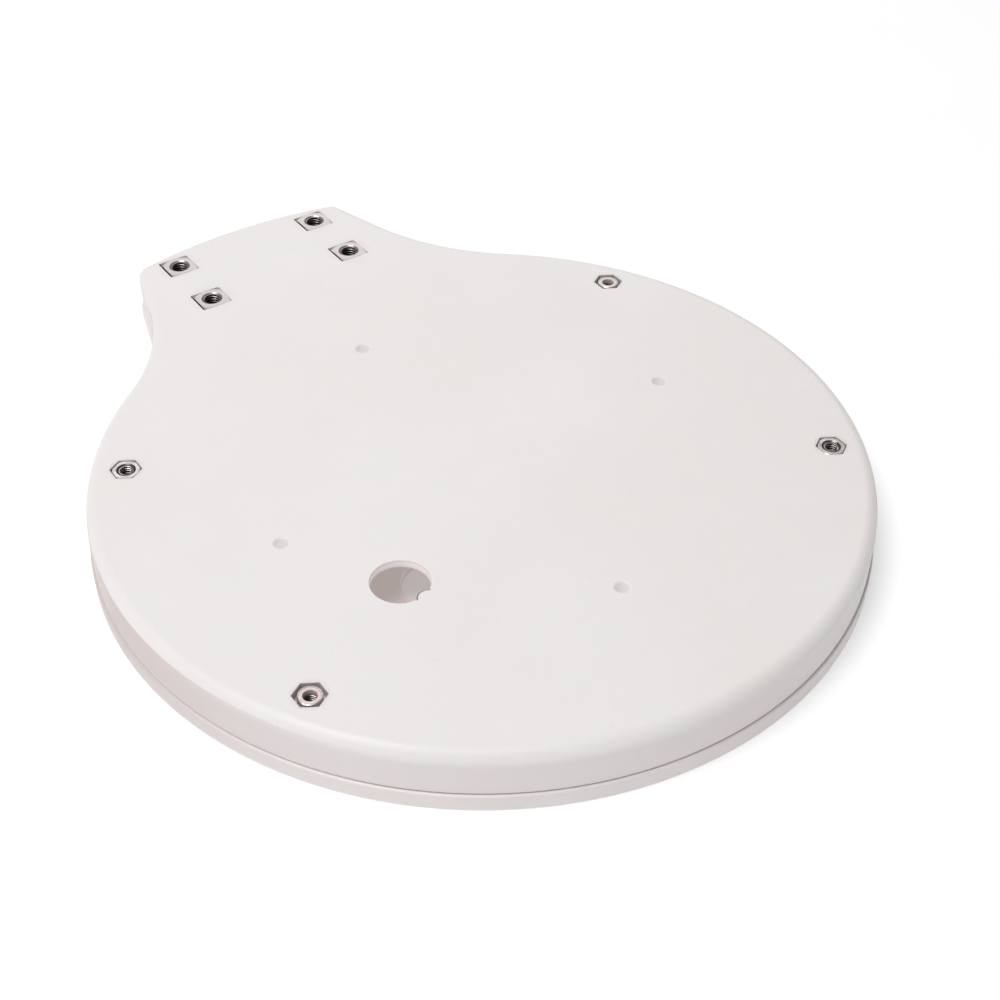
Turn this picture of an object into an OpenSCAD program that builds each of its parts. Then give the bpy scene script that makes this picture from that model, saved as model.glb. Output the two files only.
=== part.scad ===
// Mounting base of a radar dome antenna: a flat hollow plate made of two moulded shells,
// a round disc under the dome and a short tongue that carries a second bolt pattern.
// Origin: centre of the disc on the underside. +Z up, +Y towards the tongue.

/* [Outline] */
// Radius of the round disc
disc_r = 150.8; // [140:0.1:165]
// Radius of the tongue's end, concentric with the disc
end_r = 205.8; // [195:0.1:215]
// Distance from the disc's centre to each straight side of the tongue
side_h = 105; // [100:0.5:112]
// Angle between each straight side and the centre line
side_tilt = 16.3; // [10:0.1:20]
// Radius of the hollow curve between tongue and disc
flare_r = 105; // [90:1:120]
// Radius of the tongue's two corners
corner_r = 5.5; // [5.2:0.1:10]

/* [Thickness] */
// Whole thickness of the base
total_h = 25.4; // [24:0.1:32]
// Height of the lower shell's rim, up to the seam
lower_h = 6.9; // [5:0.1:9]
// Open height of the seam between the two shells
seam_gap = 0.6; // [0.4:0.1:1]
// Radius of the rounded top edge
edge_round = 5; // [3:0.1:5]
// How far the lower shell's rim stands out past the upper shell
rim_step = 0.9; // [0:0.1:1.5]
// Thickness of the top wall
top_wall = 3.4; // [3:0.1:4]
// Thickness of the lower shell's floor
floor_wall = 3.2; // [2.6:0.1:3.8]
// Thickness of the rim walls
rim_wall = 3.4; // [3:0.1:3.8]

/* [Dome bolt pattern] */
// Hole spacing across the centre line
dome_dx = 233; // [225:0.5:240]
// Hole spacing along the centre line
dome_dy = 141.4; // [135:0.1:145]
// Depth of the lock nuts' tops below the top face
nut_sink = 0.4; // [0:0.1:1]

/* [Tongue bolt pattern] */
// Hole spacing across the centre line
tongue_dx = 69.6; // [64:0.1:72]
// Hole spacing along the centre line
tongue_dy = 31.6; // [28:0.1:34]
// Distance from the disc's centre to the middle of the pattern
tongue_y = 173.8; // [172:0.1:175]

/* [Cable way] */
// Radius of the cable hole in the top wall
cable_r = 11; // [8:0.1:12]
// Place of the cable hole
cable_at = [-63.1, -41.6];
// Radius of the cable outlet in the floor
outlet_r = 17; // [14:0.1:18]
// Place of the cable outlet
outlet_at = [-37.4, -31.7];

/* [Marks and screws] */
// Distance of the four dimples from the disc's centre
dimple_at = 88; // [80:0.5:95]
// Radius of a dimple
dimple_r = 3.2; // [2:0.1:4]
// Depth of a dimple
dimple_h = 0.9; // [0.4:0.1:1.5]
// Distance of the rim screws from the disc's centre
screw_ring_r = 142; // [138:0.5:142]
// Spacing across the four inner screws
inner_dx = 118.4; // [110:0.2:119]
// Spacing along the four inner screws
inner_dy = 108.8; // [108:0.2:112]

/* [Hidden] */
$fn = 96;
slack = 0.05;
overlap = 1;

// Places that the outline's arcs turn about. Disc, hollow curve, straight side, corner and
// end meet tangent to each other, so each place follows from the radii.
side_out = [cos(side_tilt), sin(side_tilt)];
side_along = [-sin(side_tilt), cos(side_tilt)];
flare_run = sqrt((disc_r + flare_r) ^ 2 - (side_h + flare_r) ^ 2);
flare_c = (side_h + flare_r) * side_out + flare_run * side_along;
corner_run = sqrt((end_r - corner_r) ^ 2 - (side_h - corner_r) ^ 2);
corner_c = (side_h - corner_r) * side_out + corner_run * side_along;
flare_a = atan2(flare_c.y, flare_c.x);
corner_a = atan2(corner_c.y, corner_c.x);
// Steps along each arc of the outline and round the top edge
flare_steps = 14;
corner_steps = 8;
end_steps = 12;
disc_steps = 120;
round_steps = 7;

// Heights
upper_z = lower_h + seam_gap;
ceiling_z = total_h - top_wall;
rim_bevel = 0.8;
foot_bevel = 0.5;

// Wall profiles of the two shells, as [growth of the outline, height]
upper_profile = concat([[0, upper_z]],
    [for (i = [0 : round_steps]) let (a = 90 * i / round_steps)
        [edge_round * (cos(a) - 1), total_h + edge_round * (sin(a) - 1)]]);
lower_profile = [[rim_step - foot_bevel, 0], [rim_step, foot_bevel], [rim_step, lower_h - rim_bevel],
    [rim_step - rim_bevel, lower_h]];

// M6 lock nut with a nylon collar, and the steel sleeve under it
m6_core_r = 2.5;
m6_flats = 10;
m6_h = 6;
collar_r = 4.5;
collar_h = 1.9;
nylon_r = 3.9;
nylon_h = 2.3;
nut_play = 0.4;
square_play = 0.1;
square_gap = 0.6;
nut_z = total_h - nut_sink - m6_h;
sleeve_r = 5;
sleeve_bore_r = 3.3;
dome_boss_r = 10;

// M8 square nut, the plate that it stands on and the sleeve under the plate
m8_core_r = 3.4;
m8_mouth_r = 4.6;
m8_mouth_h = 0.6;
m8_flats = 13;
m8_h = 6.5;
m8_sink = 0.1;
square_z = total_h - m8_sink - m8_h;
tongue_plate_size = [90, 50, 2.5];
plate_corner_r = 6;
plate_z = square_z - tongue_plate_size.z;
plate_y = 172;
tongue_sleeve_r = 6;
tongue_bore_r = 4.4;

// Countersunk screws that hold the two shells together
screw_r = 1.9;
screw_head_r = 3.8;
screw_head_h = 2.2;
screw_sink = 0.2;
screw_top = 14;
screw_play = 0.1;
post_r = 4.5;
stay_r = 5;
outlet_lip_w = 1.6;
outlet_lip_h = 1.2;
seal_in = 1.3;
seal_w = 1.8;

// Names and places of the repeated pieces
dome_names = ["rear_right", "rear_left", "front_left", "front_right"];
dome_places = [for (q = [[1, 1], [-1, 1], [-1, -1], [1, -1]]) [q.x * dome_dx / 2, q.y * dome_dy / 2]];
nylon_up = [true, false, true, false];
tongue_names = ["outer_right", "outer_left", "inner_left", "inner_right"];
tongue_places = [for (q = [[1, 1], [-1, 1], [-1, -1], [1, -1]])
    [q.x * tongue_dx / 2, tongue_y + q.y * tongue_dy / 2]];
ring_angles = [0, 60, 90, 120, 180, 225, 270, 315];
screw_places = concat(
    [for (a = ring_angles) screw_ring_r * [cos(a), sin(a)]],
    [for (q = [[1, 1], [-1, 1], [-1, -1], [1, -1]]) [q.x * inner_dx / 2, q.y * inner_dy / 2]]);
cable_post = screw_places[10];

// Points of an arc about c, leaving out skip points at both ends
function arc(c, r, a0, a1, n, skip = 0) =
    [for (i = [skip : n - skip]) let (a = a0 + (a1 - a0) * i / n) c + r * [cos(a), sin(a)]];
function mirrored(p) = [-p.x, p.y];

// The plate's outline, grown by out, counter-clockwise from where the disc ends on the right
function outline(out) = concat(
    arc(flare_c, flare_r - out, 180 + flare_a, 180 + side_tilt, flare_steps),
    arc(corner_c, corner_r + out, side_tilt, corner_a, corner_steps),
    arc([0, 0], end_r + out, corner_a, 180 - corner_a, end_steps, 1),
    arc(mirrored(corner_c), corner_r + out, 180 - corner_a, 180 - side_tilt, corner_steps),
    arc(mirrored(flare_c), flare_r - out, -side_tilt, -flare_a, flare_steps),
    arc([0, 0], disc_r + out, 180 - flare_a, 360 + flare_a, disc_steps, 1));

module slab(out, z0, z1) { translate([0, 0, z0]) linear_extrude(z1 - z0) polygon(outline(out)); }

// A slab whose wall follows a profile of [growth, height] pairs, from the bottom up
module profiled_slab(profile) {
    n = len(outline(0));
    top = len(profile) - 1;
    points = [for (q = profile) for (p = outline(q[0])) [p.x, p.y, q[1]]];
    walls = [for (k = [0 : top - 1]) for (i = [0 : n - 1])
        [k * n + i, (k + 1) * n + i, (k + 1) * n + (i + 1) % n, k * n + (i + 1) % n]];
    foot = [for (i = [0 : n - 1]) i];
    roof = [for (i = [n - 1 : -1 : 0]) top * n + i];
    polyhedron(points, concat([foot], [roof], walls));
}

module at_dome() { for (p = dome_places) translate(p) children(); }
module at_tongue() { for (p = tongue_places) translate(p) children(); }
module at_screws() { for (p = screw_places) translate(p) children(); }
module at_dimples() { for (a = [0 : 90 : 270]) rotate(a) translate([dimple_at, 0]) children(); }

module column(r, z0, z1) { translate([0, 0, z0]) cylinder(r = r, h = z1 - z0); }
module hex_column(flats, z0, z1) {
    translate([0, 0, z0]) rotate(30) cylinder(r = flats / sqrt(3), h = z1 - z0, $fn = 6);
}
module square_column(size, z0, z1) {
    translate([-size / 2, -size / 2, z0]) cube([size, size, z1 - z0]);
}

// Pocket of a square nut, wider on the -X side so that the nut can be dropped in
module square_pocket(z0, z1) {
    size = m8_flats + 2 * square_play;
    translate([-size / 2 - square_gap, -size / 2, z0]) cube([size + square_gap, size, z1 - z0]);
}

module upper_shell() color([0.93, 0.91, 0.905]) {
    difference() {
        union() {
            difference() {
                profiled_slab(upper_profile);
                slab(-rim_wall, upper_z - overlap, ceiling_z);
            }
            at_dome() column(dome_boss_r, floor_wall, ceiling_z + overlap);
            at_screws() column(post_r, floor_wall, ceiling_z + overlap);
            at_dimples() column(stay_r, floor_wall, ceiling_z + overlap);
            translate([-tongue_plate_size.x / 2, plate_y - tongue_plate_size.y / 2, square_z])
                cube([tongue_plate_size.x, tongue_plate_size.y, ceiling_z + overlap - square_z]);
        }
        at_dome() {
            hex_column(m6_flats + 2 * nut_play, nut_z, total_h + overlap);
            column(sleeve_r + slack, floor_wall - overlap, nut_z + overlap);
        }
        at_tongue() square_pocket(square_z - overlap, total_h + overlap);
        at_screws() column(screw_r + slack, floor_wall - overlap, screw_top + overlap);
        at_dimples() column(dimple_r, total_h - dimple_h, total_h + overlap);
        difference() {
            translate(cable_at) column(cable_r, ceiling_z - overlap, total_h + overlap);
            translate(cable_post) column(post_r, ceiling_z - 2 * overlap, total_h + 2 * overlap);
        }
    }
}

module lower_shell() color([0.91, 0.895, 0.89]) {
    difference() {
        union() {
            difference() {
                profiled_slab(lower_profile);
                slab(-rim_wall, floor_wall, lower_h + overlap);
            }
            translate(outlet_at)
                column(outlet_r + outlet_lip_w, floor_wall - overlap, floor_wall + outlet_lip_h);
        }
        translate(outlet_at) column(outlet_r, -overlap, floor_wall + outlet_lip_h + overlap);
        at_dome() column(sleeve_r + slack, -overlap, floor_wall + overlap);
        at_tongue() column(tongue_sleeve_r + slack, -overlap, floor_wall + overlap);
        at_screws() {
            column(screw_r + screw_play, -overlap, floor_wall + overlap);
            column(screw_head_r + screw_play, -overlap, screw_sink);
            translate([0, 0, screw_sink])
                cylinder(r1 = screw_head_r + screw_play, r2 = screw_r + screw_play, h = screw_head_h);
        }
    }
}

module seam_seal() color([0.45, 0.44, 0.44]) difference() {
    slab(-seal_in, lower_h, upper_z);
    slab(-seal_in - seal_w, lower_h - overlap, upper_z + overlap);
}

module tongue_plate() color([0.7, 0.71, 0.72]) difference() {
    translate([0, plate_y, plate_z]) linear_extrude(tongue_plate_size.z) {
        square([tongue_plate_size.x - 2 * plate_corner_r, tongue_plate_size.y], center = true);
        square([tongue_plate_size.x, tongue_plate_size.y - 2 * plate_corner_r], center = true);
        for (sx = [-1, 1], sy = [-1, 1])
            translate([sx * (tongue_plate_size.x / 2 - plate_corner_r),
                       sy * (tongue_plate_size.y / 2 - plate_corner_r)]) circle(plate_corner_r);
    }
    at_tongue() column(tongue_bore_r, plate_z - overlap, square_z + overlap);
}

// One lock nut, its collar upwards or turned over with the collar downwards
module lock_nut(up) color([0.75, 0.75, 0.76]) {
    hex_z = up ? nut_z : nut_z + collar_h;
    seat_z = up ? nut_z + m6_h - nylon_h : nut_z - overlap;
    difference() {
        union() {
            hex_column(m6_flats, hex_z, hex_z + m6_h - collar_h);
            column(collar_r, nut_z, nut_z + m6_h);
        }
        column(m6_core_r, nut_z - overlap, nut_z + m6_h + overlap);
        column(nylon_r, seat_z, seat_z + nylon_h + overlap);
    }
}

module nylon_ring(up) color([0.93, 0.88, 0.87]) {
    z = up ? nut_z + m6_h - nylon_h : nut_z;
    difference() {
        column(nylon_r, z, z + nylon_h);
        column(m6_core_r, z - overlap, z + nylon_h + overlap);
    }
}

module bolt_sleeve() color([0.7, 0.7, 0.72]) difference() {
    column(sleeve_r, 0, nut_z);
    column(sleeve_bore_r, -overlap, nut_z + overlap);
}

module square_nut() color([0.74, 0.74, 0.75]) difference() {
    square_column(m8_flats, square_z, square_z + m8_h);
    column(m8_core_r, square_z - overlap, square_z + m8_h + overlap);
    translate([0, 0, square_z + m8_h - m8_mouth_h])
        cylinder(r1 = m8_core_r, r2 = m8_mouth_r, h = m8_mouth_h);
}

module tongue_sleeve() color([0.7, 0.7, 0.72]) difference() {
    column(tongue_sleeve_r, 0, plate_z);
    column(tongue_bore_r, -overlap, plate_z + overlap);
}

module shell_screw() color([0.76, 0.76, 0.77]) {
    translate([0, 0, screw_sink]) cylinder(r1 = screw_head_r, r2 = screw_r, h = screw_head_h);
    column(screw_r, screw_sink, screw_top);
}

upper_shell();
lower_shell();
seam_seal();
tongue_plate();
for (i = [0 : 3]) {
    translate(dome_places[i]) {
        lock_nut(nylon_up[i]);
        nylon_ring(nylon_up[i]);
        bolt_sleeve();
    }
    translate(tongue_places[i]) {
        square_nut();
        tongue_sleeve();
    }
}
for (i = [0 : len(screw_places) - 1])
    translate(screw_places[i])
        shell_screw();
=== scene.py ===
import math

import bmesh
import bpy
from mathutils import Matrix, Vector


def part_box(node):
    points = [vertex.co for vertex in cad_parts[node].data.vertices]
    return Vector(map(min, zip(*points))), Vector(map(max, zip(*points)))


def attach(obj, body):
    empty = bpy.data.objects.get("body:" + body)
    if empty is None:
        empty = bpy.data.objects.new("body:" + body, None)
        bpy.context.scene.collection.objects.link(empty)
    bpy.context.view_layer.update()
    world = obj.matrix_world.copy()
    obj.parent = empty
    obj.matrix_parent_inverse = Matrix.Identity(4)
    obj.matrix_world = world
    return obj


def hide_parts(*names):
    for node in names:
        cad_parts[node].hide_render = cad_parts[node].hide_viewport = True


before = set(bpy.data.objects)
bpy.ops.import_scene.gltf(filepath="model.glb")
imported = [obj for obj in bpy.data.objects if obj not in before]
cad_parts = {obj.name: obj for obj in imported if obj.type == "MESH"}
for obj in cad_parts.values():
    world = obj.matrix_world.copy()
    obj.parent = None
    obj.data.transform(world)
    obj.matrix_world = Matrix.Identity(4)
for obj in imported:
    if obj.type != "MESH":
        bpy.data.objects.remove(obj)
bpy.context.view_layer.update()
print("frame loaded with", len(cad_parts), "CAD nodes")

mm = 0.001
scene = bpy.context.scene


# selecting, editing and joining

def selectOnly(piece):
    if bpy.context.mode != "OBJECT":
        bpy.ops.object.mode_set(mode="OBJECT")
    bpy.ops.object.select_all(action="DESELECT")
    piece.select_set(True)
    bpy.context.view_layer.objects.active = piece


def startEdit(piece):
    selectOnly(piece)
    bpy.ops.object.mode_set(mode="EDIT")
    bpy.ops.mesh.select_mode(type="VERT")
    bpy.ops.mesh.select_all(action="DESELECT")


def endEdit():
    bpy.ops.object.mode_set(mode="OBJECT")


def pick(piece, kind, rule):
    bpy.ops.mesh.select_mode(type=kind)
    bpy.ops.mesh.select_all(action="DESELECT")
    bm = bmesh.from_edit_mesh(piece.data)
    bm.normal_update()
    for element in {"VERT": bm.verts, "EDGE": bm.edges, "FACE": bm.faces}[kind]:
        if rule(element):
            element.select_set(True)
    bmesh.update_edit_mesh(piece.data)


def atHeight(z, slack=2e-6):
    return lambda element: all(abs(v.co.z - z) < slack for v in element.verts)


def sharpAt(z, least=25):
    level = atHeight(z)
    return lambda e: level(e) and e.is_manifold and math.degrees(e.calc_face_angle()) > least


def move(x=0, y=0, z=0):
    return {"value": (x, y, z)}


def settle(piece):
    # the place goes into the mesh, so the object itself stays at the origin
    selectOnly(piece)
    bpy.ops.object.transform_apply(location=True, rotation=True, scale=True)
    return piece


def applyModifiers(piece):
    selectOnly(piece)
    for modifier in list(piece.modifiers):
        bpy.ops.object.modifier_apply(modifier=modifier.name)


def combine(piece, tool, how):
    cut = piece.modifiers.new("combine", "BOOLEAN")
    cut.object = tool
    cut.operation = how
    cut.solver = "EXACT"
    applyModifiers(piece)
    bpy.data.objects.remove(tool)


def join(pieces):
    selectOnly(pieces[0])
    for piece in pieces:
        piece.select_set(True)
    bpy.ops.object.join()
    return pieces[0]


def weld(piece, distance=1e-6):
    startEdit(piece)
    bpy.ops.mesh.select_all(action="SELECT")
    bpy.ops.mesh.remove_doubles(threshold=distance)
    bpy.ops.mesh.normals_make_consistent(inside=False)
    endEdit()


def smooth(piece, degrees=35):
    selectOnly(piece)
    bpy.ops.object.shade_smooth_by_angle(angle=math.radians(degrees))
    weigh = piece.modifiers.new("weigh", "WEIGHTED_NORMAL")
    weigh.weight = 80
    weigh.keep_sharp = True
    applyModifiers(piece)


def column(radius, low, high, place=(0, 0), sides=64):
    bpy.ops.mesh.primitive_cylinder_add(
        vertices=sides, radius=radius, depth=high - low,
        location=(place[0], place[1], (low + high) / 2))
    return settle(bpy.context.object)


def cone(lowRadius, highRadius, low, high, place=(0, 0), sides=64):
    bpy.ops.mesh.primitive_cone_add(
        vertices=sides, radius1=lowRadius, radius2=highRadius, depth=high - low,
        location=(place[0], place[1], (low + high) / 2))
    return settle(bpy.context.object)


def block(size, centre):
    bpy.ops.mesh.primitive_cube_add(size=1, location=centre, scale=size)
    return settle(bpy.context.object)


def copyTo(piece, name, x, y):
    # a copy with its own mesh, moved inside the mesh
    selectOnly(piece)
    bpy.ops.object.duplicate()
    made = bpy.context.object
    made.name = name
    made.data.name = name
    made.location = (x, y, 0)
    return settle(made)


def middleOf(node):
    low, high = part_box(node)
    return (low + high) / 2


# the outline shared by both shells: disc, hollow curve, side, corner and end are tangent

outlineShape = {
    "discRadius": 150.8 * mm,
    "endRadius": 205.8 * mm,
    "sideDistance": 105 * mm,
    "sideTilt": math.radians(16.3),
    "flareRadius": 105 * mm,
    "cornerRadius": 5.5 * mm,
    "flareSteps": 36,
    "cornerSteps": 9,
    "endSteps": 28,
    "discSteps": 180,
}


def traceOutline(name, growth, z, shape=outlineShape):
    # one vertex is spun and extruded counter-clockwise all the way round, then filled
    tilt = shape["sideTilt"]
    out = Vector((math.cos(tilt), math.sin(tilt), 0))
    along = Vector((-out.y, out.x, 0))
    reach = shape["sideDistance"] + shape["flareRadius"]
    flareRun = math.sqrt((shape["discRadius"] + shape["flareRadius"]) ** 2 - reach ** 2)
    flare = reach * out + flareRun * along
    inner = shape["sideDistance"] - shape["cornerRadius"]
    cornerRun = math.sqrt((shape["endRadius"] - shape["cornerRadius"]) ** 2 - inner ** 2)
    corner = inner * out + cornerRun * along
    flareAngle = math.atan2(flare.y, flare.x)
    cornerAngle = math.atan2(corner.y, corner.x)
    side = (cornerRun - flareRun) * along
    start = flare.normalized() * (shape["discRadius"] + growth)

    bpy.ops.mesh.primitive_plane_add(size=mm, location=(start.x, start.y, z))
    piece = settle(bpy.context.object)
    piece.name = name
    piece.data.name = name
    startEdit(piece)
    bpy.ops.mesh.select_all(action="SELECT")
    bpy.ops.mesh.merge(type="CENTER")

    def spin(x, y, angle, steps):
        bpy.ops.mesh.spin(steps=steps, angle=-angle, center=(x, y, z), axis=(0, 0, 1))

    spin(flare.x, flare.y, tilt - flareAngle, shape["flareSteps"])
    bpy.ops.mesh.extrude_region_move(TRANSFORM_OT_translate=move(side.x, side.y))
    spin(corner.x, corner.y, cornerAngle - tilt, shape["cornerSteps"])
    spin(0, 0, math.pi - 2 * cornerAngle, shape["endSteps"])
    spin(-corner.x, corner.y, cornerAngle - tilt, shape["cornerSteps"])
    bpy.ops.mesh.extrude_region_move(TRANSFORM_OT_translate=move(side.x, -side.y))
    spin(-flare.x, flare.y, tilt - flareAngle, shape["flareSteps"])
    spin(0, 0, math.pi + 2 * flareAngle, shape["discSteps"])
    bpy.ops.mesh.select_all(action="SELECT")
    bpy.ops.mesh.remove_doubles(threshold=5e-6)
    bpy.ops.mesh.select_all(action="SELECT")
    bpy.ops.mesh.edge_face_add()
    endEdit()
    return piece


# places read off the CAD nodes

domeNames = ["rear_right", "rear_left", "front_left", "front_right"]
tongueNames = ["outer_right", "outer_left", "inner_left", "inner_right"]
domePlaces = [middleOf("lock_nut_" + name).xy for name in domeNames]
tonguePlaces = [middleOf("square_nut_" + name).xy for name in tongueNames]
screwPlaces = [middleOf(f"shell_screw_{i}").xy for i in range(1, 13)]
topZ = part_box("upper_shell")[1].z
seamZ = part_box("seam_seal")[1].z
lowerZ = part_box("lower_shell")[1].z
nutLow, nutHigh = (corner.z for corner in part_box("lock_nut_rear_right"))
squareLow, squareHigh = (corner.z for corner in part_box("square_nut_outer_right"))


# upper shell

upperShellShape = {
    "edgeRound": 5 * mm,
    "roundSteps": 9,
    "wall": 3.4 * mm,
    "bossRadius": 10 * mm,
    "bossFoot": 3.3 * mm,
    "postRadius": 4.5 * mm,
    "stayRadius": 5 * mm,
    "hexFlats": 10.8 * mm,
    "squareFlats": 13.2 * mm,
    "squareGap": 0.6 * mm,
    "squareCorner": 0.6 * mm,
    "sleeveRadius": 5.05 * mm,
    "pilotRadius": 1.95 * mm,
    "pilotTop": 15 * mm,
    "pad": (90 * mm, 50 * mm, 172 * mm),
    "dimpleRing": 88 * mm,
    "dimpleRadius": 3.2 * mm,
    "dimpleDepth": 0.9 * mm,
    "cableHole": (-63.1 * mm, -41.6 * mm),
    "cableRadius": 11 * mm,
    "lipRound": 0.3 * mm,
}


def buildUpperShell(shape=upperShellShape):
    ceiling = topZ - shape["wall"]
    rise = topZ - seamZ
    shell = traceOutline("upperShell", -0.01 * mm, seamZ)
    startEdit(shell)
    bpy.ops.mesh.select_all(action="SELECT")
    bpy.ops.mesh.extrude_region_move(TRANSFORM_OT_translate=move(z=rise))
    bpy.ops.mesh.select_all(action="SELECT")
    bpy.ops.mesh.normals_make_consistent(inside=False)
    pick(shell, "EDGE", atHeight(topZ))
    bpy.ops.mesh.bevel(offset=shape["edgeRound"], segments=shape["roundSteps"], profile=0.5,
                       affect="EDGES", clamp_overlap=False)
    pick(shell, "FACE", atHeight(seamZ))
    bpy.ops.mesh.inset(thickness=shape["wall"], depth=0)
    bpy.ops.mesh.extrude_region_move(TRANSFORM_OT_translate=move(z=ceiling - seamZ))
    endEdit()

    # bosses, screw posts, stays and the pad over the tongue plate hang from the ceiling
    foot, root = shape["bossFoot"], ceiling + mm
    ring = shape["dimpleRing"]
    dimples = [(ring, 0), (0, ring), (-ring, 0), (0, -ring)]
    padX, padY, padPlace = shape["pad"]
    hanging = [column(shape["bossRadius"], foot, root, place) for place in domePlaces]
    hanging += [column(shape["postRadius"], foot, root, place, 48) for place in screwPlaces]
    hanging += [column(shape["stayRadius"], foot, root, place, 48) for place in dimples]
    hanging.append(block((padX, padY, root - squareLow), (0, padPlace, (root + squareLow) / 2)))
    combine(shell, join(hanging), "UNION")

    high = topZ + mm
    pockets = [column(shape["hexFlats"] / math.sqrt(3), nutLow, high, place, 6)
               for place in domePlaces]
    flats, gap = shape["squareFlats"], shape["squareGap"]
    depth = high - squareLow + mm
    for place in tonguePlaces:
        pocket = block((flats + gap, flats, depth), (place.x - gap / 2, place.y, high - depth / 2))
        startEdit(pocket)
        pick(pocket, "EDGE", lambda e: abs(e.verts[0].co.z - e.verts[1].co.z) > mm)
        bpy.ops.mesh.bevel(offset=shape["squareCorner"], segments=5, profile=0.5, affect="EDGES")
        endEdit()
        pockets.append(pocket)
    combine(shell, join(pockets), "DIFFERENCE")

    bores = [column(shape["sleeveRadius"], foot - mm, nutLow + mm, place) for place in domePlaces]
    bores += [column(shape["pilotRadius"], foot - mm, shape["pilotTop"], place, 32)
              for place in screwPlaces]
    combine(shell, join(bores), "DIFFERENCE")

    # each dimple is the cap of a sphere
    radius, sink = shape["dimpleRadius"], shape["dimpleDepth"]
    ball = (radius ** 2 + sink ** 2) / (2 * sink)
    dishes = []
    for x, y in dimples:
        bpy.ops.mesh.primitive_uv_sphere_add(
            segments=72, ring_count=72, radius=ball, location=(x, y, topZ - sink + ball))
        dishes.append(settle(bpy.context.object))
    combine(shell, join(dishes), "DIFFERENCE")

    # the cable hole leaves the top of one screw post standing in its rim
    hole = column(shape["cableRadius"], ceiling - mm, high, shape["cableHole"], 96)
    post = column(shape["postRadius"], ceiling - 2 * mm, high + mm, screwPlaces[10], 72)
    combine(hole, post, "DIFFERENCE")
    combine(shell, hole, "DIFFERENCE")

    weld(shell)
    startEdit(shell)
    pick(shell, "EDGE", sharpAt(topZ))
    bpy.ops.mesh.bevel(offset=shape["lipRound"], segments=3, profile=0.5, affect="EDGES")
    endEdit()
    smooth(shell, 30)
    return shell


upperShell = buildUpperShell()
print("upper shell:", len(upperShell.data.polygons), "faces")


# lower shell

lowerShellShape = {
    "growth": 0.89 * mm,
    "topRound": 0.8 * mm,
    "footRound": 0.5 * mm,
    "wall": 3.4 * mm,
    "floor": 3.2 * mm,
    "outlet": (-37.4 * mm, -31.7 * mm),
    "outletRadius": 17 * mm,
    "lipWidth": 1.6 * mm,
    "lipHeight": 1.2 * mm,
    "sleeveRadius": 5.05 * mm,
    "tongueSleeveRadius": 6.05 * mm,
    "screwRadius": 2 * mm,
    "headRadius": 3.9 * mm,
    "headSink": 0.2 * mm,
    "headHeight": 2.2 * mm,
}


def buildLowerShell(shape=lowerShellShape):
    shell = traceOutline("lowerShell", shape["growth"], 0)
    startEdit(shell)
    bpy.ops.mesh.select_all(action="SELECT")
    bpy.ops.mesh.extrude_region_move(TRANSFORM_OT_translate=move(z=lowerZ))
    bpy.ops.mesh.select_all(action="SELECT")
    bpy.ops.mesh.normals_make_consistent(inside=False)
    pick(shell, "EDGE", atHeight(lowerZ))
    bpy.ops.mesh.bevel(offset=shape["topRound"], segments=5, profile=0.5, affect="EDGES")
    pick(shell, "EDGE", atHeight(0))
    bpy.ops.mesh.bevel(offset=shape["footRound"], segments=4, profile=0.5, affect="EDGES")
    pick(shell, "FACE", atHeight(lowerZ))
    bpy.ops.mesh.inset(thickness=shape["wall"] + shape["growth"] - shape["topRound"], depth=0)
    bpy.ops.mesh.extrude_region_move(TRANSFORM_OT_translate=move(z=shape["floor"] - lowerZ))
    endEdit()

    lipTop = shape["floor"] + shape["lipHeight"]
    combine(shell, column(shape["outletRadius"] + shape["lipWidth"], shape["floor"] - mm, lipTop,
                          shape["outlet"], 96), "UNION")
    holes = [column(shape["outletRadius"], -mm, lipTop + mm, shape["outlet"], 96)]
    through = shape["floor"] + mm
    holes += [column(shape["sleeveRadius"], -mm, through, place) for place in domePlaces]
    holes += [column(shape["tongueSleeveRadius"], -mm, through, place) for place in tonguePlaces]
    holes += [column(shape["screwRadius"], -mm, through, place, 48) for place in screwPlaces]
    combine(shell, join(holes), "DIFFERENCE")

    # each screw's seat: a short straight wall under a cone
    seats = []
    for place in screwPlaces:
        seat = cone(shape["headRadius"], shape["screwRadius"], shape["headSink"],
                    shape["headSink"] + shape["headHeight"], place, 48)
        startEdit(seat)
        pick(seat, "FACE", atHeight(shape["headSink"]))
        bpy.ops.mesh.extrude_region_move(TRANSFORM_OT_translate=move(z=-mm))
        endEdit()
        seats.append(seat)
    combine(shell, join(seats), "DIFFERENCE")

    weld(shell)
    startEdit(shell)
    pick(shell, "EDGE", lambda e: sharpAt(0)(e) or sharpAt(lipTop)(e))
    bpy.ops.mesh.bevel(offset=0.2 * mm, segments=2, profile=0.5, affect="EDGES")
    endEdit()
    smooth(shell, 30)
    return shell


lowerShell = buildLowerShell()
print("lower shell:", len(lowerShell.data.polygons), "faces")


# M6 lock nuts: a hexagon with a collar that holds the nylon ring

threadShapes = {
    "m6": {"root": 3.12 * mm, "crest": 2.5 * mm, "pitch": 1 * mm},
    "m8": {"root": 4.14 * mm, "crest": 3.4 * mm, "pitch": 1.25 * mm},
}


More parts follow.
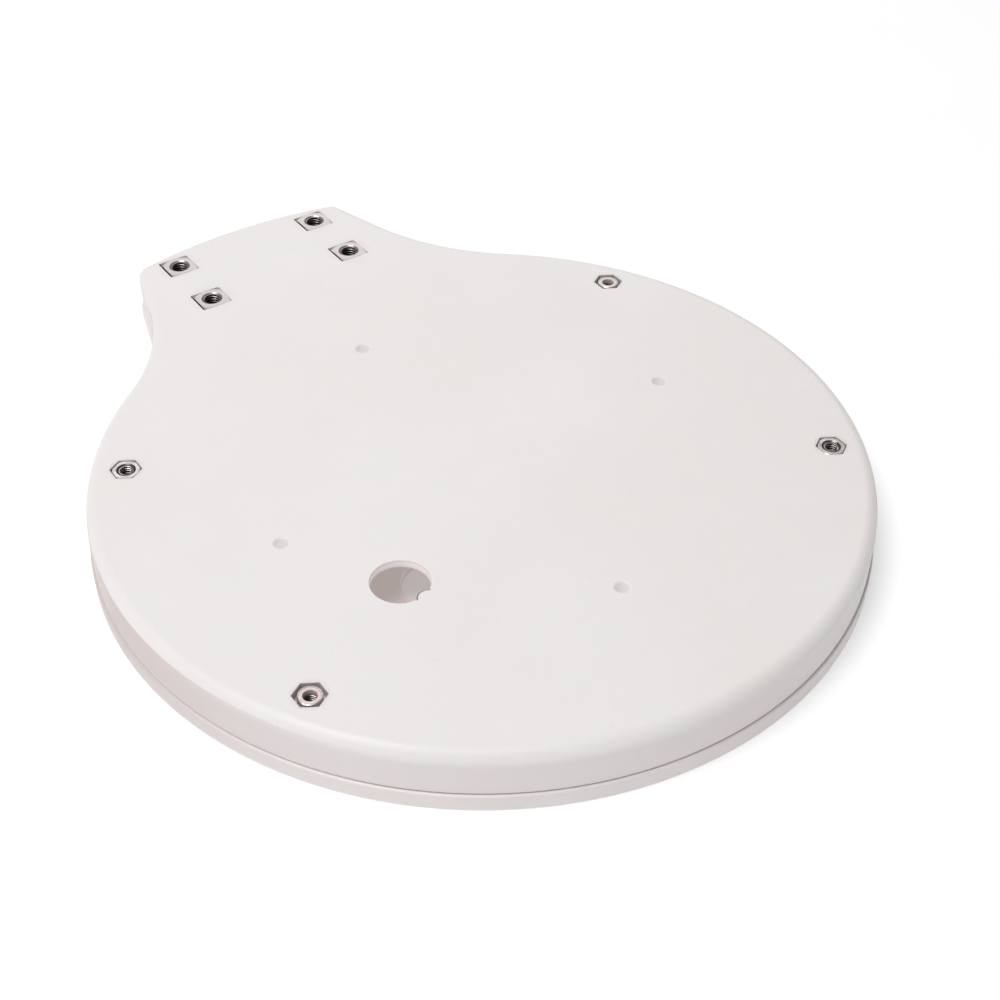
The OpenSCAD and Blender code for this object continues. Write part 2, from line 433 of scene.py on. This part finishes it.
def buildThread(kind, low, high):
    # a ridge with a flat crest, wound up inside a bore by the screw modifier
    shape = threadShapes[kind]
    pitch, root, crest = shape["pitch"], shape["root"], shape["crest"]
    bpy.ops.mesh.primitive_plane_add(
        size=1, location=((root + crest) / 2, 0, low), rotation=(math.radians(90), 0, 0))
    ridge = bpy.context.object
    ridge.scale = (root - crest, 0.94 * pitch, 1)
    settle(ridge)
    startEdit(ridge)
    pick(ridge, "VERT", lambda v: v.co.x < (root + crest) / 2)
    bpy.ops.transform.resize(value=(1, 1, 0.28), center_override=(crest, 0, low))
    endEdit()
    wind = ridge.modifiers.new("wind", "SCREW")
    wind.axis = "Z"
    wind.steps = wind.render_steps = 40
    wind.screw_offset = pitch
    wind.iterations = math.ceil((high - low) / pitch)
    wind.use_smooth_shade = False
    applyModifiers(ridge)
    startEdit(ridge)
    bpy.ops.mesh.select_all(action="SELECT")
    bpy.ops.mesh.fill_holes(sides=4)
    endEdit()
    weld(ridge)
    return ridge


def trimThread(ridge, low, high):
    width = 12 * mm
    combine(ridge, block((width, width, high - low), (0, 0, (high + low) / 2)), "INTERSECT")


lockNutShape = {
    "flats": 10 * mm,
    "hexHeight": 4.1 * mm,
    "collarRadius": 4.5 * mm,
    "collarHeight": 1.9 * mm,
    "collarRound": 0.45 * mm,
    "nylonRadius": 3.9 * mm,
    "nylonHeight": 2.3 * mm,
    "boreRadius": 3 * mm,
    "chamfer": 0.55 * mm,
    "leadIn": 1.1 * mm,
    "threadEnd": 0.35 * mm,
}


def chamferedDisc(radius, low, high, chamfer, sides=96):
    disc = column(radius, low, high, sides=sides)
    startEdit(disc)
    pick(disc, "EDGE", lambda e: atHeight(low)(e) or atHeight(high)(e))
    bpy.ops.mesh.bevel(offset=chamfer, segments=1, affect="EDGES")
    endEdit()
    return disc


def buildLockNut(name, up, shape=lockNutShape):
    # modelled with the collar up, and turned over at the end where the collar faces down
    height = shape["hexHeight"] + shape["collarHeight"]
    corner = shape["flats"] / math.sqrt(3)
    nut = column(corner, 0, shape["hexHeight"], sides=6)
    nut.name = name
    nut.data.name = name
    combine(nut, chamferedDisc(corner, 0, shape["hexHeight"], shape["chamfer"]), "INTERSECT")
    collar = column(shape["collarRadius"], mm, height, sides=96)
    startEdit(collar)
    pick(collar, "EDGE", atHeight(height))
    bpy.ops.mesh.bevel(offset=shape["collarRound"], segments=5, profile=0.5, affect="EDGES")
    endEdit()
    combine(nut, collar, "UNION")
    seat = height - shape["nylonHeight"]
    combine(nut, column(shape["boreRadius"], -mm, height + mm, sides=80), "DIFFERENCE")
    combine(nut, column(shape["nylonRadius"], seat, height + mm, sides=80), "DIFFERENCE")
    mouth = cone(shape["boreRadius"] + shape["leadIn"], shape["boreRadius"] - 0.1 * mm,
                 -0.3 * mm, 0.8 * mm, sides=80)
    combine(nut, mouth, "DIFFERENCE")
    ridge = buildThread("m6", -0.2 * mm, seat)
    trimThread(ridge, shape["threadEnd"], seat)
    combine(nut, ridge, "UNION")
    weld(nut)
    startEdit(nut)
    bpy.ops.mesh.select_all(action="SELECT")
    if not up:
        bpy.ops.transform.rotate(value=math.radians(180), orient_axis="X",
                                 center_override=(0, 0, 0))
        bpy.ops.transform.translate(value=(0, 0, height))
    bpy.ops.transform.translate(value=(0, 0, nutLow))
    endEdit()
    smooth(nut, 30)
    return nut


lockNutUp = buildLockNut("lockNutUp", True)
lockNutDown = buildLockNut("lockNutDown", False)
print("lock nuts:", len(lockNutUp.data.polygons), len(lockNutDown.data.polygons), "faces")

ringShape = {"outer": 3.88 * mm, "inner": 2.5 * mm, "height": 2.3 * mm, "round": 0.35 * mm}


def buildNylonRing(name, up, shape=ringShape):
    # the top of the ring is drawn in a little where the bolt has not yet passed
    low = nutHigh - shape["height"] if up else nutLow
    high = low + shape["height"]
    ring = column(shape["outer"], low, high, sides=80)
    ring.name = name
    ring.data.name = name
    combine(ring, column(shape["inner"], low - mm, high + mm, sides=80), "DIFFERENCE")
    startEdit(ring)
    face = high if up else low
    pick(ring, "EDGE", sharpAt(face))
    bpy.ops.mesh.bevel(offset=shape["round"], segments=4, profile=0.5, affect="EDGES")
    endEdit()
    smooth(ring, 40)
    return ring


nylonRingUp = buildNylonRing("nylonRingUp", True)
nylonRingDown = buildNylonRing("nylonRingDown", False)

lockNuts = []
nylonRings = []
for name, place, up in zip(domeNames, domePlaces, [True, False, True, False]):
    nut = copyTo(lockNutUp if up else lockNutDown, "lockNut_" + name, place.x, place.y)
    ring = copyTo(nylonRingUp if up else nylonRingDown, "nylonRing_" + name, place.x, place.y)
    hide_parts("lock_nut_" + name)
    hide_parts("nylon_ring_" + name)
    lockNuts.append(nut)
    nylonRings.append(ring)
for model in (lockNutUp, lockNutDown, nylonRingUp, nylonRingDown):
    bpy.data.objects.remove(model)
print("lock nuts and nylon rings:", len(lockNuts) + len(nylonRings), "pieces")


# M8 square nuts

squareNutShape = {
    "flats": 13 * mm,
    "cornerRound": 0.9 * mm,
    "turnedRadius": 9.19 * mm,
    "slopeWidth": 2.45 * mm,
    "slopeDrop": 0.9 * mm,
    "boreRadius": 4 * mm,
    "mouthRadius": 4.6 * mm,
    "threadEnd": 0.25 * mm,
}


def turnedBlank(low, high, shape=squareNutShape):
    # a turned blank whose top edge slopes
    radius = shape["turnedRadius"]
    blank = column(radius, low, high, sides=128)
    startEdit(blank)
    pick(blank, "FACE", atHeight(high))
    bpy.ops.mesh.inset(thickness=shape["slopeWidth"], depth=0)
    bpy.ops.mesh.select_all(action="DESELECT")
    pick(blank, "VERT", lambda v: v.co.z > high - 1e-6 and v.co.xy.length > radius - 1e-5)
    bpy.ops.transform.translate(value=(0, 0, -shape["slopeDrop"]))
    endEdit()
    return blank


def buildSquareNut(name, shape=squareNutShape):
    height = squareHigh - squareLow
    flats, bore, mouth = shape["flats"], shape["boreRadius"], shape["mouthRadius"]
    nut = block((flats, flats, height), (0, 0, squareLow + height / 2))
    nut.name = name
    nut.data.name = name
    startEdit(nut)
    pick(nut, "EDGE", lambda e: abs(e.verts[0].co.z - e.verts[1].co.z) > mm)
    bpy.ops.mesh.bevel(offset=shape["cornerRound"], segments=4, profile=0.5, affect="EDGES")
    endEdit()
    # the turned top leaves a round face and four low corners
    combine(nut, turnedBlank(squareLow - mm, squareHigh), "INTERSECT")
    combine(nut, column(bore, squareLow - mm, squareHigh + mm, sides=80), "DIFFERENCE")
    # both mouths of the bore open at 45 degrees
    depth, past = mouth - bore, 0.3 * mm
    upper = cone(bore, mouth + past, squareHigh - depth, squareHigh + past, sides=80)
    lower = cone(mouth + past, bore, squareLow - past, squareLow + depth, sides=80)
    for mouthCone in (upper, lower):
        combine(nut, mouthCone, "DIFFERENCE")
    ridge = buildThread("m8", squareLow - 0.3 * mm, squareHigh + 0.6 * mm)
    trimThread(ridge, squareLow + shape["threadEnd"], squareHigh - shape["threadEnd"])
    combine(nut, ridge, "UNION")
    weld(nut)
    smooth(nut, 30)
    return nut


squareNutModel = buildSquareNut("squareNutModel")
squareNuts = []
for name, place in zip(tongueNames, tonguePlaces):
    nut = copyTo(squareNutModel, "squareNut_" + name, place.x, place.y)
    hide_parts("square_nut_" + name)
    squareNuts.append(nut)
bpy.data.objects.remove(squareNutModel)
print("square nuts:", len(squareNuts), "pieces")


# sleeves round the bolts, with broken edges at both ends

sleeveShapes = {
    "bolt_sleeve_": {"outer": 4.99 * mm, "bore": 3.3 * mm, "broken": 0.3 * mm},
    "tongue_sleeve_": {"outer": 5.99 * mm, "bore": 4.4 * mm, "broken": 0.3 * mm},
}


def buildSleeves(prefix, names, places):
    shape = sleeveShapes[prefix]
    low, high = (corner.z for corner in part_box(prefix + names[0]))
    model = column(shape["outer"], low, high, sides=80)
    combine(model, column(shape["bore"], low - mm, high + mm, sides=80), "DIFFERENCE")
    startEdit(model)
    pick(model, "EDGE", lambda e: sharpAt(low)(e) or sharpAt(high)(e))
    bpy.ops.mesh.bevel(offset=shape["broken"], segments=2, profile=0.5, affect="EDGES")
    endEdit()
    smooth(model, 35)
    made = []
    for name, place in zip(names, places):
        sleeve = copyTo(model, prefix.title().replace("_", "") + "_" + name, place.x, place.y)
        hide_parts(prefix + name)
        made.append(sleeve)
    bpy.data.objects.remove(model)
    return made


sleeves = buildSleeves("bolt_sleeve_", domeNames, domePlaces)
sleeves += buildSleeves("tongue_sleeve_", tongueNames, tonguePlaces)
print("sleeves:", len(sleeves), "pieces")


# countersunk screws that hold the shells together, seen from below

screwShape = {
    "radius": 1.9 * mm,
    "headRadius": 3.78 * mm,
    "headHeight": 2.2 * mm,
    "recessRadius": 1.7 * mm,
    "recessDepth": 1.4 * mm,
    "recessWidth": 0.75 * mm,
    "tipBevel": 0.6 * mm,
    "headBevel": 0.15 * mm,
}


def buildScrews(shape=screwShape):
    low, high = (corner.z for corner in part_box("shell_screw_1"))
    model = cone(shape["headRadius"], shape["radius"], low, low + shape["headHeight"], sides=64)
    startEdit(model)
    pick(model, "FACE", atHeight(low + shape["headHeight"]))
    shank = high - low - shape["headHeight"]
    bpy.ops.mesh.extrude_region_move(TRANSFORM_OT_translate=move(z=shank))
    pick(model, "EDGE", atHeight(high))
    bpy.ops.mesh.bevel(offset=shape["tipBevel"], segments=2, affect="EDGES")
    pick(model, "EDGE", atHeight(low))
    bpy.ops.mesh.bevel(offset=shape["headBevel"], segments=2, affect="EDGES")
    endEdit()
    # a cross recess, each arm narrower at its bottom
    wide, long, depth = shape["recessWidth"], 2 * shape["recessRadius"], shape["recessDepth"]
    for turn in (0, 90):
        arm = block((long, wide, depth + mm), (0, 0, low + (depth - mm) / 2))
        startEdit(arm)
        pick(arm, "FACE", atHeight(low + depth))
        bpy.ops.transform.resize(value=(0.45, 0.6, 1), center_override=(0, 0, low + depth))
        bpy.ops.mesh.select_all(action="SELECT")
        bpy.ops.transform.rotate(value=math.radians(turn), orient_axis="Z",
                                 center_override=(0, 0, 0))
        endEdit()
        combine(model, arm, "DIFFERENCE")
    weld(model)
    smooth(model, 30)
    made = []
    for i, place in enumerate(screwPlaces, 1):
        screw = copyTo(model, f"shellScrew_{i}", place.x, place.y)
        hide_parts(f"shell_screw_{i}")
        made.append(screw)
    bpy.data.objects.remove(model)
    return made


screws = buildScrews()
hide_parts("upper_shell")
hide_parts("lower_shell")
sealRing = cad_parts["seam_seal"]
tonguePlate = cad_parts["tongue_plate"]
print("shell screws:", len(screws), "pieces")


# materials: a wire stands for one socket and can be reckoned with like a number

class Wire:
    def __init__(self, tree, socket):
        self.tree = tree
        self.socket = socket

    def node(self, kind, settings, inputs, output=0):
        made = self.tree.nodes.new(kind)
        for name, value in settings.items():
            setattr(made, name, value)
        for name, value in inputs.items():
            if isinstance(value, Wire):
                self.tree.links.new(value.socket, made.inputs[name])
            else:
                made.inputs[name].default_value = value
        return Wire(self.tree, made.outputs[output])

    def maths(self, operation, *values):
        return self.node("ShaderNodeMath", {"operation": operation}, dict(enumerate(values)))

    def __add__(self, other):
        return self.maths("ADD", self, other)

    def __radd__(self, other):
        return self.maths("ADD", other, self)

    def __sub__(self, other):
        return self.maths("SUBTRACT", self, other)

    def __rsub__(self, other):
        return self.maths("SUBTRACT", other, self)

    def __mul__(self, other):
        return self.maths("MULTIPLY", self, other)

    def __rmul__(self, other):
        return self.maths("MULTIPLY", other, self)

    def __truediv__(self, other):
        return self.maths("DIVIDE", self, other)

    def __rtruediv__(self, other):
        return self.maths("DIVIDE", other, self)

    def __pow__(self, other):
        return self.maths("POWER", self, other)

    def __abs__(self):
        return self.maths("ABSOLUTE", self)

    def step(self, start, end):
        # runs smoothly from 0 at start to 1 at end
        return self.node("ShaderNodeMapRange", {"interpolation_type": "SMOOTHSTEP"},
                         {"Value": self, "From Min": start, "From Max": end})

    def ridge(self, middle, halfWidth):
        # 1 on the middle value, fading to 0 on either side
        return abs(self - middle).step(halfWidth, 0)

    def noise(self, scale, detail=3, roughness=0.5):
        return self.node("ShaderNodeTexNoise", {}, {
            "Vector": self, "Scale": scale, "Detail": detail, "Roughness": roughness})

    def parts(self):
        return [self.node("ShaderNodeSeparateXYZ", {}, {0: self}, axis) for axis in range(3)]

    def stretch(self, x, y, z):
        return self.node("ShaderNodeVectorMath", {"operation": "MULTIPLY"}, {0: self, 1: (x, y, z)})

    def tint(self, first, second):
        # the second colour where this mask is 1
        return self.node("ShaderNodeMix", {"data_type": "RGBA"}, {0: self, 6: first, 7: second}, 2)


def colour(red, green, blue):
    # 0 to 255 as seen on a screen, given to Blender as linear light
    values = [c / 255 for c in (red, green, blue)]
    return tuple(c / 12.92 if c <= 0.04045 else ((c + 0.055) / 1.055) ** 2.4 for c in values) + (1,)


def newMaterial(name, **constants):
    material = bpy.data.materials.new(name)
    material.use_nodes = True
    tree = material.node_tree
    shader = tree.nodes["Principled BSDF"]
    for key, value in constants.items():
        shader.inputs[key.replace("_", " ")].default_value = value
    place = Wire(tree, tree.nodes.new("ShaderNodeTexCoord").outputs["Object"]).stretch(1000, 1000, 1000)

    def connect(**wires):
        for key, wire in wires.items():
            tree.links.new(wire.socket, shader.inputs[key.replace("_", " ")])

    def bump(height, distance, strength=1):
        return height.node("ShaderNodeBump", {}, {"Height": height, "Distance": distance * mm,
                                                   "Strength": strength}, "Normal")
    return material, place, connect, bump


def distanceTo(x, y):
    return (x * x + y * y) ** 0.5


def aroundNuts(x, y):
    # distances in mm from the nearest lock nut's and square nut's axis, as both patterns mirror
    domeX, domeY = (value / mm for value in domePlaces[0])
    tongueX = tonguePlaces[0].x / mm
    tongueMiddle = (tonguePlaces[0].y + tonguePlaces[2].y) / 2 / mm
    tongueHalf = tonguePlaces[0].y / mm - tongueMiddle
    lock = distanceTo(abs(x) - domeX, abs(y) - domeY)
    square = distanceTo(abs(x) - tongueX, abs(y - tongueMiddle) - tongueHalf)
    return lock, square


shellLook = {
    "clean": (238, 234, 233),
    "warm": (237, 231, 229),
    "cool": (236, 234, 234),
    "dustAndShade": (176, 168, 164),
    "inside": (163, 155, 152),
    "paintedGlow": (0.27, 0.245, 0.238, 1),
    "roughness": 0.42,
}


def paintShell(name, look=shellLook):
    material, place, connect, bump = newMaterial(
        name, IOR=1.49, Specular_IOR_Level=0.45, Subsurface_Weight=0.04, Subsurface_Scale=0.002,
        Emission_Strength=1)
    x, y, z = place.parts()
    lock, square = aroundNuts(x, y)
    broad = place.noise(0.012, 3, 0.55)
    clouds = place.noise(0.05, 4, 0.6)
    grain = place.noise(1.6, 2, 0.5)
    specks = place.noise(0.55, 1, 0.4).step(0.73, 0.78)
    # faint wiping marks run at a slant over the top
    wiped = (place.stretch(0.35, 0.02, 0.2) + 0).noise(1, 3, 0.6).step(0.5, 0.72)
    base = broad.step(0.35, 0.65).tint(colour(*look["clean"]), colour(*look["warm"]))
    base = (clouds.step(0.42, 0.68) * 0.5).tint(base, colour(*look["cool"]))
    base = (specks * 0.1).tint(base, colour(*look["dustAndShade"]))
    # grime settles round the nuts' pockets and in the seam
    darkening = lock.step(7.6, 5.6) * 0.2 + square.step(11.5, 8.5) * 0.06
    darkening = darkening * (0.5 + clouds)
    seam = z.ridge(7.2, 0.6) * 0.12
    base = (darkening + seam).tint(base, colour(*look["dustAndShade"]))
    # painted shade on the lock nuts' pocket walls below the top face
    sunk = z.step(25.3, 24.7) * z.step(12, 14)
    pocket = sunk * lock.step(6.9, 6.6)
    base = (pocket * 0.4).tint(base, colour(92, 84, 82))
    # the square nuts' pockets are open on the -X side, with painted shadow in that gap
    tongueX = tonguePlaces[0].x / mm
    fromMiddle = x - tongueX * x.maths("SIGN", x)
    gap = fromMiddle.step(-6.2, -6.5) * square.step(10.8, 10.4) * sunk
    base = (gap * 0.95).tint(base, colour(52, 46, 44))
    # painted shade inside the dimples on the top face
    ring = upperShellShape["dimpleRing"] / mm
    dimple = distanceTo(abs(x) - ring, y)
    dimple = dimple.maths("MINIMUM", dimple, distanceTo(x, abs(y) - ring))
    base = (dimple.step(3.1, 2.2) * z.step(20, 22) * 0.3).tint(base, colour(*look["dustAndShade"]))
    # painted shade: a dark line along the cut edge of the post's top in the cable hole
    fromPost = distanceTo(x - screwPlaces[10].x / mm, y - screwPlaces[10].y / mm)
    hole = [value / mm for value in upperShellShape["cableHole"]]
    fromHole = distanceTo(x - hole[0], y - hole[1])
    postEdgeShade = fromPost.ridge(4.3, 0.65) * fromHole.step(11.8, 11.1) * z.step(23.5, 24.5)
    base = (postEdgeShade * 0.95).tint(base, colour(84, 74, 72))
    # painted light: faces in the hollow get a darker colour and a painted glow that stands in for light
    # reaching the hollow, most near the cable outlet
    outlet = [value / mm for value in lowerShellShape["outlet"]]
    fromOutlet = distanceTo(x - outlet[0], y - outlet[1])
    hollow = distanceTo(x, y - 20).step(168, 150) * z.step(0.6, 1.2) * z.step(22.6, 21.9)
    base = hollow.tint(base, colour(*look["inside"]))
    paintedGlow = hollow * (0.95 + 1.9 * fromOutlet.step(34, 18) * y.step(-28, -46))
    # the wall of the cable hole gets painted glow as well
    paintedGlow = paintedGlow + z.step(22.2, 22.8) * z.step(25.3, 24.6) * fromHole.step(11.3, 11.1) * 0.9
    glow = paintedGlow.tint((0, 0, 0, 1), look["paintedGlow"])
    # painted shade: the wall below the rounded edge is made a little darker, with a faint rosy cast
    shade = z.step(22, 18.5).tint((1, 1, 1, 1), (0.965, 0.94, 0.948, 1))
    base = base.node("ShaderNodeMix", {"data_type": "RGBA", "blend_type": "MULTIPLY"},
                     {0: 1.0, 6: base, 7: shade}, 2)
    rough = look["roughness"] + 0.1 * clouds.step(0.3, 0.7) + 0.06 * wiped + 0.12 * specks
    relief = 0.5 * grain + place.noise(0.22, 2, 0.5)
    connect(Base_Color=base, Roughness=rough, Normal=bump(relief, 0.006), Emission_Color=glow)
    return material


nutLook = {
    "dull": (206, 199, 197),
    "root": (58, 52, 50),
    "darkening": (64, 56, 52),
    "rust": (160, 138, 120),
    "lock": {"crest": 2.5, "root": 3.6, "face": 4.9, "bright": (240, 237, 236)},
    "square": {"crest": 3.4, "root": 4.0, "face": 6.4, "bright": (204, 195, 195)},
}


def paintNuts(name, kind, look=nutLook):
    # the thread's crest and root and the turned face are radii in mm
    material, place, connect, bump = newMaterial(name, Metallic=1.0)
    x, y, z = place.parts()
    lock, square = aroundNuts(x, y)
    away = lock if kind == "lock" else square
    crestRadius, rootRadius, faceRadius, bright = look[kind].values()
    cloud = place.noise(0.35, 4, 0.6)
    fine = place.noise(2.6, 3, 0.6)
    turned = away.node("ShaderNodeTexNoise", {"noise_dimensions": "1D"},
                       {"W": away, "Scale": 5.5, "Detail": 3})
    rolled = place.stretch(0.5, 0.5, 6).noise(1, 3, 0.6)
    bore = away.step(rootRadius + 0.3, rootRadius + 0.05)
    root = bore * away.step(crestRadius + 0.08, crestRadius + 0.3)
    edge = away.ridge(faceRadius, 0.45)
    base = cloud.step(0.3, 0.75).tint(colour(*bright), colour(*look["dull"]))
    # painted shade: the thread roots are darkened, and the bore darkens further below the shell's top
    # face
    base = (root * 0.85).tint(base, colour(*look["root"]))
    base = (bore * z.step(topZ / mm - 1.2, topZ / mm - 4) * 0.75).tint(base, colour(*look["darkening"]))
    base = (fine.step(0.62, 0.74) * 0.18).tint(base, colour(*look["rust"]))
    rough = 0.2 + 0.14 * cloud + 0.08 * turned + 0.04 * edge
    relief = turned * 0.6 + rolled * 0.3 + fine * 0.2
    connect(Base_Color=base, Roughness=rough, Normal=bump(relief, 0.008))
    return material


def paintNylon():
    material, place, connect, bump = newMaterial(
        "nylonLook", IOR=1.53, Subsurface_Weight=0.25, Subsurface_Scale=0.0015)
    lock = aroundNuts(*place.parts()[:2])[0]
    mottle = place.noise(0.9, 3, 0.6)
    base = mottle.step(0.3, 0.7).tint(colour(238, 224, 221), colour(228, 208, 204))
    # painted shade: the ring darkens towards its bore
    base = (lock.step(2.9, 2.5) * 0.4).tint(base, colour(150, 134, 130))
    connect(Base_Color=base, Roughness=0.38 + 0.2 * mottle, Normal=bump(place.noise(3, 2), 0.01))
    return material


def paintSeal():
    material, place, connect, bump = newMaterial("sealLook", IOR=1.5)
    dusty = place.noise(0.3, 4, 0.6)
    base = dusty.step(0.35, 0.75).tint(colour(168, 156, 154), colour(190, 180, 177))
    connect(Base_Color=base, Roughness=0.7 + 0.2 * dusty, Normal=bump(place.noise(2.5, 2), 0.02))
    return material


def paintPlate():
    material, place, connect, bump = newMaterial("plateLook", Metallic=1.0)
    brushed = place.stretch(0.06, 3.2, 3.2).noise(1, 4, 0.65)
    cloud = place.noise(0.08, 3, 0.5)
    base = cloud.step(0.3, 0.7).tint(colour(188, 189, 190), colour(168, 168, 170))
    base = (brushed.step(0.55, 0.8) * 0.25).tint(base, colour(140, 140, 142))
    connect(Base_Color=base, Roughness=0.3 + 0.22 * brushed, Normal=bump(brushed, 0.008))
    return material


def paintSleeve():
    material, place, connect, bump = newMaterial("sleeveLook", Metallic=1.0)
    x, y, z = place.parts()
    lock, square = aroundNuts(x, y)
    away = lock.maths("MINIMUM", lock, square)
    turned = away.node("ShaderNodeTexNoise", {"noise_dimensions": "1D"},
                       {"W": away, "Scale": 6.0, "Detail": 3})
    cloud = place.noise(0.4, 4, 0.6)
    base = cloud.step(0.3, 0.72).tint(colour(190, 191, 193), colour(160, 160, 162))
    # painted shade: darker towards the top, deep inside the shells
    base = (z.step(1.5, 8) * 0.5).tint(base, colour(110, 108, 106))
    connect(Base_Color=base, Roughness=0.3 + 0.2 * turned, Normal=bump(turned, 0.01))
    return material


def paintScrews():
    material, place, connect, bump = newMaterial("screwLook", Metallic=1.0)
    cloud = place.noise(0.8, 4, 0.6)
    z = place.parts()[2]
    base = cloud.step(0.3, 0.75).tint(colour(198, 197, 196), colour(172, 170, 168))
    # painted shade: darker from about 0.5 mm up, deep in the cross recess and along the hidden shank
    base = (z.step(0.5, 1.6) * 0.55).tint(base, colour(84, 78, 74))
    connect(Base_Color=base, Roughness=0.26 + 0.2 * cloud, Normal=bump(place.noise(4, 3), 0.006))
    return material


def dress(pieces, material):
    for piece in pieces:
        piece.data.materials.clear()
        piece.data.materials.append(material)


dress([upperShell], paintShell("upperShellLook"))
dress([lowerShell], paintShell("lowerShellLook"))
dress(lockNuts, paintNuts("lockNutLook", "lock"))
dress(squareNuts, paintNuts("squareNutLook", "square"))
dress(nylonRings, paintNylon())
dress([sealRing], paintSeal())
dress([tonguePlate], paintPlate())
dress(sleeves, paintSleeve())
dress(screws, paintScrews())
for piece in [upperShell, lowerShell] + lockNuts + nylonRings + squareNuts + sleeves + screws:
    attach(piece, "root")
print("materials on", len(bpy.data.materials), "looks")


# studio: pale floor, soft lamps, white surroundings and the camera

studio = {
    "floorSize": 6,
    "floorColour": (210, 210, 210),
    "floorGlow": 0.42,
    "underOutlet": (0.5, 0.48, 0.475, 1),
    "wallRadius": 2.9,
    "wallHeight": 1.5,
    "wallColour": (150, 150, 150),
    "wallGlow": 0.185,
    "skyStrength": 0.178,
    "lamps": [
        {"name": "keyLamp", "place": (-0.98, -0.07, 2.45), "aim": (0, 0, 0),
         "size": 1.65, "power": 53.5},
        {"name": "backLamp", "place": (0.66, 1.15, 0.87), "aim": (0, 0.05, 0),
         "size": 1.3, "power": 4.2},
    ],
    "cameraPlace": (-0.27677, -0.40367, 0.42023),
    "cameraTurn": (49.3691, 0.2321, -34.0119),
    "cameraLens": 58.66,
    "cameraShift": (0.0323, 0.0065),
}


def buildStudio(shape=studio):
    bpy.ops.mesh.primitive_plane_add(size=shape["floorSize"], location=(0, 0, -0.2 * mm))
    floor = bpy.context.object
    floor.name = "studioFloor"
    material, place, connect = newMaterial(
        "floorLook", Roughness=0.9, Specular_IOR_Level=0.1, Emission_Strength=shape["floorGlow"])[:3]
    paper = place.noise(0.02, 2, 0.5)
    # the floor's glow is dimmed under the cable outlet as a painted shadow, and the floor is clear when
    # seen from below
    x, y = place.parts()[:2]
    outlet = [value / mm for value in lowerShellShape["outlet"]]
    under = distanceTo(x - outlet[0], y - outlet[1]).step(20, 17.5)
    below = place.node("ShaderNodeNewGeometry", {}, {}, "Backfacing")
    connect(Base_Color=paper.tint(colour(*shape["floorColour"]), colour(212, 212, 212)),
            Emission_Color=under.tint((1, 1, 1, 1), shape["underOutlet"]), Alpha=1 - below)
    floor.data.materials.append(material)

    # a low pale wall all round keeps the horizon light
    bpy.ops.mesh.primitive_cylinder_add(
        vertices=128, radius=shape["wallRadius"], depth=shape["wallHeight"], end_fill_type="NOTHING",
        location=(0, 0, shape["wallHeight"] / 2))
    wall = bpy.context.object
    wall.name = "studioWall"
    bpy.ops.object.shade_smooth()
    material, place, connect = newMaterial(
        "wallLook", Roughness=0.9, Specular_IOR_Level=0.1, Emission_Strength=shape["wallGlow"])[:3]
    grey = place.noise(0.002, 2, 0.5).tint(colour(*shape["wallColour"]), colour(153, 153, 153))
    connect(Base_Color=grey, Emission_Color=grey.tint((1, 1, 1, 1), (0.98, 0.98, 0.98, 1)))
    wall.data.materials.append(material)

    world = bpy.data.worlds.new("studioWorld")
    world.use_nodes = True
    sky = world.node_tree.nodes["Background"]
    sky.inputs["Color"].default_value = (1, 1, 1, 1)
    sky.inputs["Strength"].default_value = shape["skyStrength"]
    scene.world = world

    for lamp in shape["lamps"]:
        direction = Vector(lamp["aim"]) - Vector(lamp["place"])
        turn = direction.to_track_quat("-Z", "Y").to_euler()
        bpy.ops.object.light_add(type="AREA", location=lamp["place"], rotation=turn)
        made = bpy.context.object
        made.name = lamp["name"]
        made.data.shape = "DISK"
        made.data.size = lamp["size"]
        made.data.energy = lamp["power"]

    turn = [math.radians(angle) for angle in shape["cameraTurn"]]
    bpy.ops.object.camera_add(location=shape["cameraPlace"], rotation=turn)
    camera = bpy.context.object
    camera.name = "photoCamera"
    camera.data.lens = shape["cameraLens"]
    camera.data.sensor_width = 36
    camera.data.shift_x, camera.data.shift_y = shape["cameraShift"]
    camera.data.clip_start = 0.01
    scene.camera = camera
    scene.view_settings.view_transform = "Standard"


buildStudio()
print("studio and camera set")
